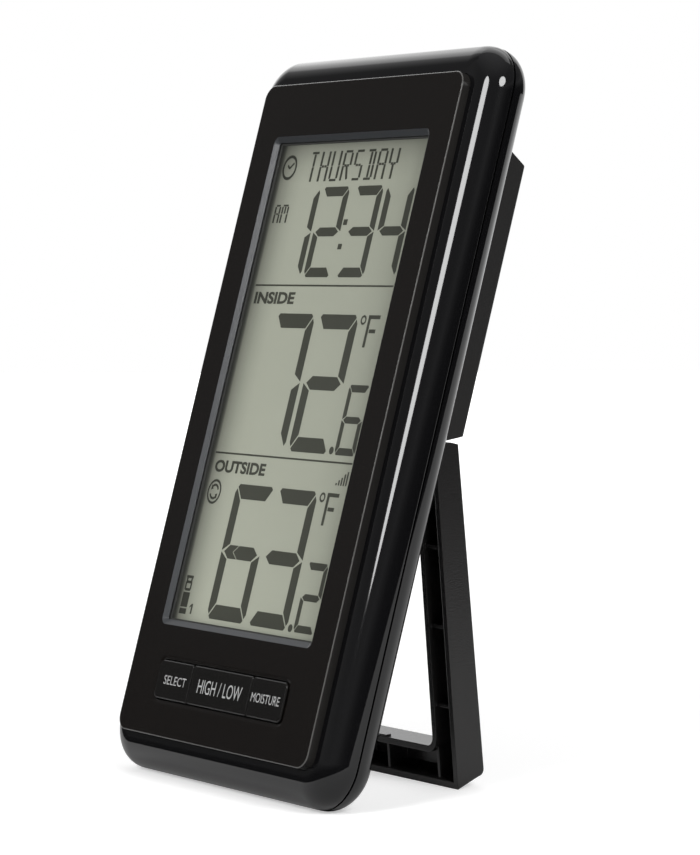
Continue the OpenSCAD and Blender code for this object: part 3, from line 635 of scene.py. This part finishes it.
patch([(CHANNEL_LEFT, CHANNEL_TOP), (FLAG_LEFT, FLAG_TOP), (FLAG_LEFT, FLAG_LOW),
       (CHANNEL_LEFT, FLAG_ROOT)])
add_mesh("lcd_figures", ink_v, ink_f, INK, "case")


# Words on the display and on the buttons

LCD_WORD_H, LCD_WORD_BOLD = 2.8, 0.04
LEGEND_T = 0.012
LEGEND_Z = BUTTON_PROUD + LEGEND_T
CURVE_POINTS = 4


def words(name, text, centre, width, height, mat, body, bold=0.0):
    """Flat lettering centred at a place on the face."""
    curve = bpy.data.curves.new(name, "FONT")
    curve.body = text
    curve.align_x, curve.align_y = "CENTER", "CENTER"
    curve.offset = bold
    curve.resolution_u = CURVE_POINTS
    source = bpy.data.objects.new(name + "_source", curve)
    scene.collection.objects.link(source)
    bpy.context.view_layer.update()
    mesh = bpy.data.meshes.new_from_object(source)
    bpy.data.objects.remove(source)
    xs = [v.co.x for v in mesh.vertices]
    ys = [v.co.y for v in mesh.vertices]
    faces = [tuple(p.vertices) for p in mesh.polygons]
    bpy.data.meshes.remove(mesh)
    x, y, z = centre
    x_mid, y_mid = (min(xs) + max(xs)) / 2, (min(ys) + max(ys)) / 2
    x_scale, y_scale = width / (max(xs) - min(xs)), height / (max(ys) - min(ys))
    verts = [(x + (px - x_mid) * x_scale, y + (py - y_mid) * y_scale, z) for px, py in zip(xs, ys)]
    add_mesh(name, verts, faces, mat, body)


for name, text, x, y, width in (("lcd_inside", "INSIDE", -17.5, 100.4, 16.6),
                                ("lcd_outside", "OUTSIDE", -15.25, 61.58, 21.1)):
    words(name, text, (x, y, INK_Z), width, LCD_WORD_H, INK, "case", LCD_WORD_BOLD)
for name, body, text, x, width, height in (("legend_left", "key_left", "SELECT", -18.4, 9.3, 2.0),
                                           ("legend_middle", "key_middle", "HIGH / LOW", 0.4, 18.0, 3.1),
                                           ("legend_right", "key_right", "MOISTURE", 19.0, 11.2, 2.0)):
    words(name, text, (x, BAR_Y, LEGEND_Z), width, height, WHITE, body)


# Studio: cards and floor in m

FULL_WHITE = (1, 1, 1, 1)


def plane(name, corners, mat):
    new_object(name, corners, [tuple(range(len(corners)))], mat)


def flat(corners, height):
    """Corners of a level card."""
    return [(x, y, height) for x, y in corners]


def upright(start, end, low, high):
    """Corners of a card that stands along a line."""
    return [(*start, low), (*end, low), (*end, high), (*start, high)]


def glow(name):
    """White light, even all over."""
    m, nt, surface = empty_material(name)
    emission = nt.nodes.new("ShaderNodeEmission")
    emission.inputs["Color"].default_value = FULL_WHITE
    emission.inputs["Strength"].default_value = 1
    nt.links.new(emission.outputs[0], surface)
    return m


def shaded_glow(name, way, steps):
    """White light whose strength changes along a direction: place in m, and strength."""
    m = glow(name)
    nt = m.node_tree
    nt.links.new(ramp(nt, dot(nt, place(nt), way), steps), nt.nodes["Emission"].inputs["Strength"])
    return m


def seen(nt, mirrored):
    """1 for a ray of the camera; for one by way of gloss or glass, the share that mirrored gives."""
    path = nt.nodes.new("ShaderNodeLightPath")
    share = calc(nt, "MAXIMUM", path.outputs["Is Glossy Ray"], path.outputs["Is Transmission Ray"])
    return calc(nt, "MAXIMUM", path.outputs["Is Camera Ray"], calc(nt, "MULTIPLY", share, mirrored))


def floor_material(name, color, lift, mirrored):
    """A pale matt floor, lifted towards white where it is seen, that keeps its shadows.

    lift and mirrored are tables of the distance from the object in m, and of the light added there and
    the share of it that shows in a mirror image.
    """
    m = material(name, color, 1.0, specular=0.0)
    nt = m.node_tree
    reach = nt.nodes.new("ShaderNodeVectorMath")
    reach.operation = "LENGTH"
    nt.links.new(place(nt), reach.inputs[0])
    distance = reach.outputs["Value"]
    strength = calc(nt, "MULTIPLY", seen(nt, ramp(nt, distance, mirrored)), ramp(nt, distance, lift))
    shader_input(nt, "Emission Color").default_value = FULL_WHITE
    nt.links.new(strength, shader_input(nt, "Emission Strength"))
    return m


PALE = floor_material("pale_floor", (0.72, 0.72, 0.72), lift=((0.3, 0.47), (1.1, 1)),
                      mirrored=((0.05, 0), (0.3, 0.2), (0.8, 0.6)))
LEFT_GLOW = shaded_glow("left_card", (0, 1, 0),
                        ((-0.3, 0.13), (-0.05, 0.5), (0.03, 1.3), (0.3, 1.85), (0.5, 1.35)))
CEILING_GLOW = shaded_glow("ceiling", (-0.585, 0.81, 0), ((0.5, 0.9), (1.4, 1.7)))
plane("floor", flat(((-2.2, -0.1), (0.34, -0.1), (0.34, 2.4), (-2.2, 2.4)), 0), PALE)
plane("backdrop", upright((-2.2, 0.6), (-0.4, 1.7), 0, 1.6), glow("backdrop"))
plane("left_card", upright((-0.8, -0.45), (-0.8, 0.75), 0.28, 1.25), LEFT_GLOW)
plane("ceiling", flat(((-1.2, -0.25), (0.3, 0.87), (0.3, 1.5), (-1.2, 1.5)), 1.5), CEILING_GLOW)


def softbox(name, at, way, width, height, power):
    """An oval lamp at a place, shining along a direction."""
    light = bpy.data.lights.new(name, "AREA")
    light.shape = "ELLIPSE"
    light.size, light.size_y = width, height
    light.energy = power
    obj = bpy.data.objects.new(name, light)
    scene.collection.objects.link(obj)
    obj.location = at
    obj.rotation_euler = Vector(way).to_track_quat("-Z", "Y").to_euler()


softbox("key", (0.188, -0.7, 0.57), (0, 1, 0), 0.3, 0.55, 5.9)
softbox("side", (0.9, -0.03, 0.665), (-1, 0, 0), 0.5, 0.44, 8.2)

# Camera at the photograph's place: its focal length and picture are in the photograph's pixels
FOCAL_PX, PICTURE_PX = 3400, 855
SENSOR_MM, CLIP_START = 36, 0.01
CAMERA_RIGHT, CAMERA_BACK = Vector((0.5515, 0.8337, -0.0262)), Vector((0.8332, -0.5490, 0.0646))
CAMERA_FROM_FACE = Vector((0.6231, -0.3714, 0.1150))

cam = bpy.data.cameras.new("camera")
cam.sensor_width = SENSOR_MM
cam.lens = FOCAL_PX / PICTURE_PX * SENSOR_MM
cam.clip_start = CLIP_START
view = bpy.data.objects.new("camera", cam)
scene.collection.objects.link(view)
back = CAMERA_BACK.normalized()
up = back.cross(CAMERA_RIGHT).normalized()
turned = Matrix((up.cross(back), up, back)).transposed().to_4x4()
turned.translation = CAMERA_FROM_FACE + FACE.translation
view.matrix_world = turned
scene.camera = view
scene.view_settings.view_transform = "Standard"

# World: a dim room, given by the height of a direction, that is white to the camera
# and, in mirror images and through glass, where a direction lies ahead of the camera
ROOM = ((-0.05, 0.03), (0.1, 0.045), (0.18, 0.12), (0.26, 0.24), (0.36, 0.16), (0.65, 0.17), (0.82, 0.28),
        (1, 0.42))
AHEAD = ((0.72, 0), (0.92, 1))
world = bpy.data.worlds.new("studio")
scene.world = world
world.use_nodes = True
wt = world.node_tree
direction = wt.nodes.new("ShaderNodeTexCoord").outputs["Generated"]
room = wt.nodes["Background"]
room.inputs["Color"].default_value = FULL_WHITE
wt.links.new(ramp(wt, dot(wt, direction, (0, 0, 1)), ROOM), room.inputs["Strength"])
white = wt.nodes.new("ShaderNodeBackground")
white.inputs["Color"].default_value = FULL_WHITE
ahead = ramp(wt, dot(wt, direction, -CAMERA_BACK), AHEAD)
blend_shaders(wt, seen(wt, ahead), room, white, wt.nodes["World Output"].inputs["Surface"])
